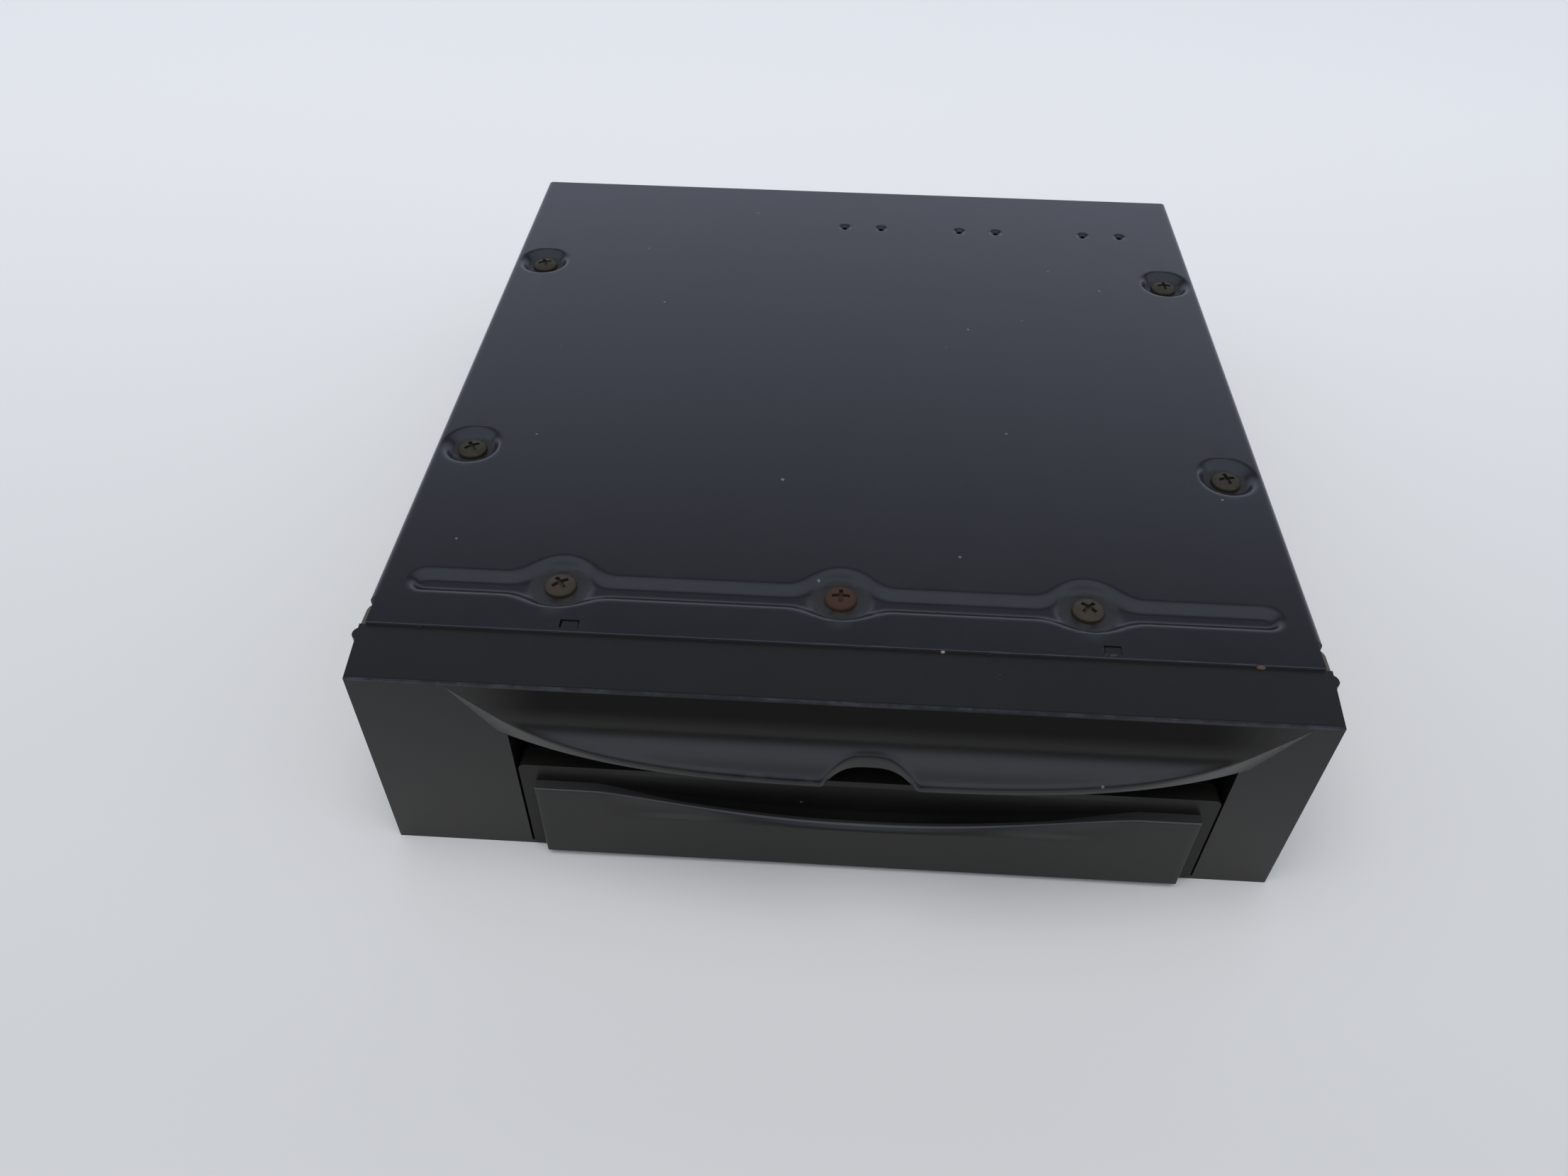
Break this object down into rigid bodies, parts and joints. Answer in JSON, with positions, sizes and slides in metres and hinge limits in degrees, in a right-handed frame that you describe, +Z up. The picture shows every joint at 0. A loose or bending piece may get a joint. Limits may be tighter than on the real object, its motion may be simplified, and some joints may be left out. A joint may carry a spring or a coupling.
{
  "type": "car cd player",
  "caption": "Slim black car cd player: folded steel case, moulded front with an overhanging lip, pull-out disc magazine with swing-out trays, and a lifting play deck behind it.",
  "frame": {"origin": "middle of the case's floor, halfway between its sides and between its front and back edges", "axes": "+X to the right seen from the front, +Y to the back, +Z up"},
  "size_m": [0.1792, 0.2008, 0.0492],
  "materials": {
    "cover_paint": "satin black paint",
    "zinc_steel": "aged zinc plate",
    "front_plastic": "fine grain",
    "magazine_plastic": "fine grain",
    "screw_steel": "dull, rusty",
    "tray_plastic": "smooth",
    "white_plastic": "smooth",
    "steel": "satin",
    "rubber": "matt",
    "board": "green laminate",
    "dark_plastic": "matt",
    "brass": "satin",
    "lens": "clear"
  },
  "bodies": {
    "case": {"bottom_chassis": "zinc_steel", "top_cover": "cover_paint", "front_bezel": "front_plastic", "side_screws": "screw_steel", "groove_screws": "screw_steel", "front_crossbar": "zinc_steel", "bay_roof": "steel", "magazine_guides": "white_plastic", "eject_switch": "dark_plastic", "switch_board": "board", "lock_pin": "steel", "guide_plate_left": "white_plastic", "guide_plate_right": "white_plastic", "shaft_bearings": "white_plastic", "lift_motor": "steel", "motor_mount": "white_plastic", "main_board": "board", "board_parts": "dark_plastic", "board_standoffs": "steel", "rear_socket": "dark_plastic", "socket_pins": "brass"},
    "magazine": {"magazine_base": "magazine_plastic", "magazine_lid": "magazine_plastic", "magazine_front": "magazine_plastic", "tray_pivot_pin": "steel"},
    "tray_1": {"tray_1": "tray_plastic"},
    "tray_2": {"tray_2": "tray_plastic"},
    "tray_3": {"tray_3": "tray_plastic"},
    "tray_4": {"tray_4": "tray_plastic"},
    "tray_5": {"tray_5": "tray_plastic"},
    "tray_6": {"tray_6": "tray_plastic"},
    "button": {"eject_button": "front_plastic"},
    "lock": {"magazine_lock": "steel"},
    "deck": {"lift_frame": "steel", "lift_pins": "steel", "deck_plate": "steel", "deck_dampers": "rubber", "spindle_motor": "steel", "guide_rods": "steel", "sled_motor": "steel", "clamp_pin": "steel", "tray_motor": "steel"},
    "cam_left": {"cam_plate_left": "steel"},
    "cam_right": {"cam_plate_right": "steel"},
    "cross_shaft": {"lift_shaft": "steel", "rack_pinions": "white_plastic", "drive_gear": "white_plastic"},
    "lift_rotor": {"lift_motor_pinion": "brass"},
    "spindle": {"turntable": "dark_plastic"},
    "sled": {"pickup": "dark_plastic", "pickup_lens": "lens"},
    "screw": {"lead_screw": "steel"},
    "clamp": {"clamp_arm": "steel"},
    "pad": {"clamp_pad": "dark_plastic"},
    "tray_drive": {"tray_pinion": "white_plastic", "tray_gear": "white_plastic"},
    "tray_rotor": {"tray_motor_pinion": "brass"}
  },
  "joints": [
    {"name": "magazine_slide", "type": "slide", "parent": "case", "child": "magazine", "axis": [0, -1, 0], "range_m": [0, 0.135]},
    {"name": "tray_1_swing", "type": "hinge", "parent": "magazine", "child": "tray_1", "pos_m": [0.0475, 0.01765, 0.005], "axis": [0, 0, 1], "range_deg": [-60.6, 0]},
    {"name": "tray_2_swing", "type": "hinge", "parent": "magazine", "child": "tray_2", "pos_m": [0.0475, 0.01765, 0.0083], "axis": [0, 0, 1], "range_deg": [-60.6, 0]},
    {"name": "tray_3_swing", "type": "hinge", "parent": "magazine", "child": "tray_3", "pos_m": [0.0475, 0.01765, 0.0116], "axis": [0, 0, 1], "range_deg": [-60.6, 0]},
    {"name": "tray_4_swing", "type": "hinge", "parent": "magazine", "child": "tray_4", "pos_m": [0.0475, 0.01765, 0.0149], "axis": [0, 0, 1], "range_deg": [-60.6, 0]},
    {"name": "tray_5_swing", "type": "hinge", "parent": "magazine", "child": "tray_5", "pos_m": [0.0475, 0.01765, 0.0182], "axis": [0, 0, 1], "range_deg": [-60.6, 0]},
    {"name": "tray_6_swing", "type": "hinge", "parent": "magazine", "child": "tray_6", "pos_m": [0.0475, 0.01765, 0.0215], "axis": [0, 0, 1], "range_deg": [-60.6, 0]},
    {"name": "eject_press", "type": "slide", "parent": "case", "child": "button", "axis": [0, 1, 0], "range_m": [0, 0.001], "stiffness_N_per_m": 900},
    {"name": "lock_turn", "type": "hinge", "parent": "case", "child": "lock", "pos_m": [0.08, -0.04275, 0.013], "axis": [0, 0, -1], "range_deg": [0, 10]},
    {"name": "deck_lift", "type": "slide", "parent": "case", "child": "deck", "axis": [0, 0, -1], "range_m": [0, 0.0226]},
    {"name": "cam_left_slide", "type": "slide", "parent": "case", "child": "cam_left", "axis": [0, 1, 0], "range_m": [0, 0.0226]},
    {"name": "cam_right_slide", "type": "slide", "parent": "case", "child": "cam_right", "axis": [0, 1, 0], "range_m": [0, 0.0226]},
    {"name": "cross_shaft_turn", "type": "hinge", "parent": "case", "child": "cross_shaft", "pos_m": [0, -0.00279, 0.038], "axis": [1, 0, 0], "range_deg": [0, 231.24]},
    {"name": "lift_motor_turn", "type": "hinge", "parent": "case", "child": "lift_rotor", "pos_m": [-0.03, -0.01329, 0.038], "axis": [1, 0, 0], "range_deg": [-739.98, 0]},
    {"name": "spindle_spin", "type": "hinge", "parent": "deck", "child": "spindle", "pos_m": [-0.02199, 0.02567, 0.031], "axis": [0, 0, 1], "continuous": true},
    {"name": "pickup_slide", "type": "slide", "parent": "deck", "child": "sled", "axis": [0.9135, 0.4067, 0], "range_m": [0, 0.034]},
    {"name": "lead_screw_turn", "type": "hinge", "parent": "deck", "child": "screw", "pos_m": [-0.02719, 0.03737, 0.0424], "axis": [0.9135, 0.4067, 0], "range_deg": [0, 4080.1]},
    {"name": "clamp_turn", "type": "hinge", "parent": "deck", "child": "clamp", "pos_m": [0.058, 0.05025, 0.0268], "axis": [0, 1, 0], "range_deg": [0, 2]},
    {"name": "clamp_pad_spin", "type": "hinge", "parent": "clamp", "child": "pad", "pos_m": [-0.02199, 0.02567, 0.0238], "axis": [0, 0, 1], "continuous": true},
    {"name": "tray_drive_turn", "type": "hinge", "parent": "deck", "child": "tray_drive", "pos_m": [0.0475, 0.03165, 0.0375], "axis": [0, 0, 1], "range_deg": [0, 80.8]},
    {"name": "tray_motor_turn", "type": "hinge", "parent": "deck", "child": "tray_rotor", "pos_m": [0.0539, 0.03165, 0.0375], "axis": [0, 0, 1], "range_deg": [-177.81, 0]}
  ],
  "couplings": [
    {"joint": "cam_left_slide", "follows": "deck_lift", "ratio": 1},
    {"joint": "cam_right_slide", "follows": "deck_lift", "ratio": 1},
    {"joint": "cross_shaft_turn", "follows": "deck_lift", "rad_per_m": 178.57},
    {"joint": "lift_motor_turn", "follows": "deck_lift", "rad_per_m": -571.43},
    {"joint": "lead_screw_turn", "follows": "pickup_slide", "rad_per_m": 2094.4},
    {"joint": "clamp_pad_spin", "follows": "spindle_spin", "ratio": 1},
    {"joint": "tray_motor_turn", "follows": "tray_drive_turn", "ratio": -2.2}
  ]
}
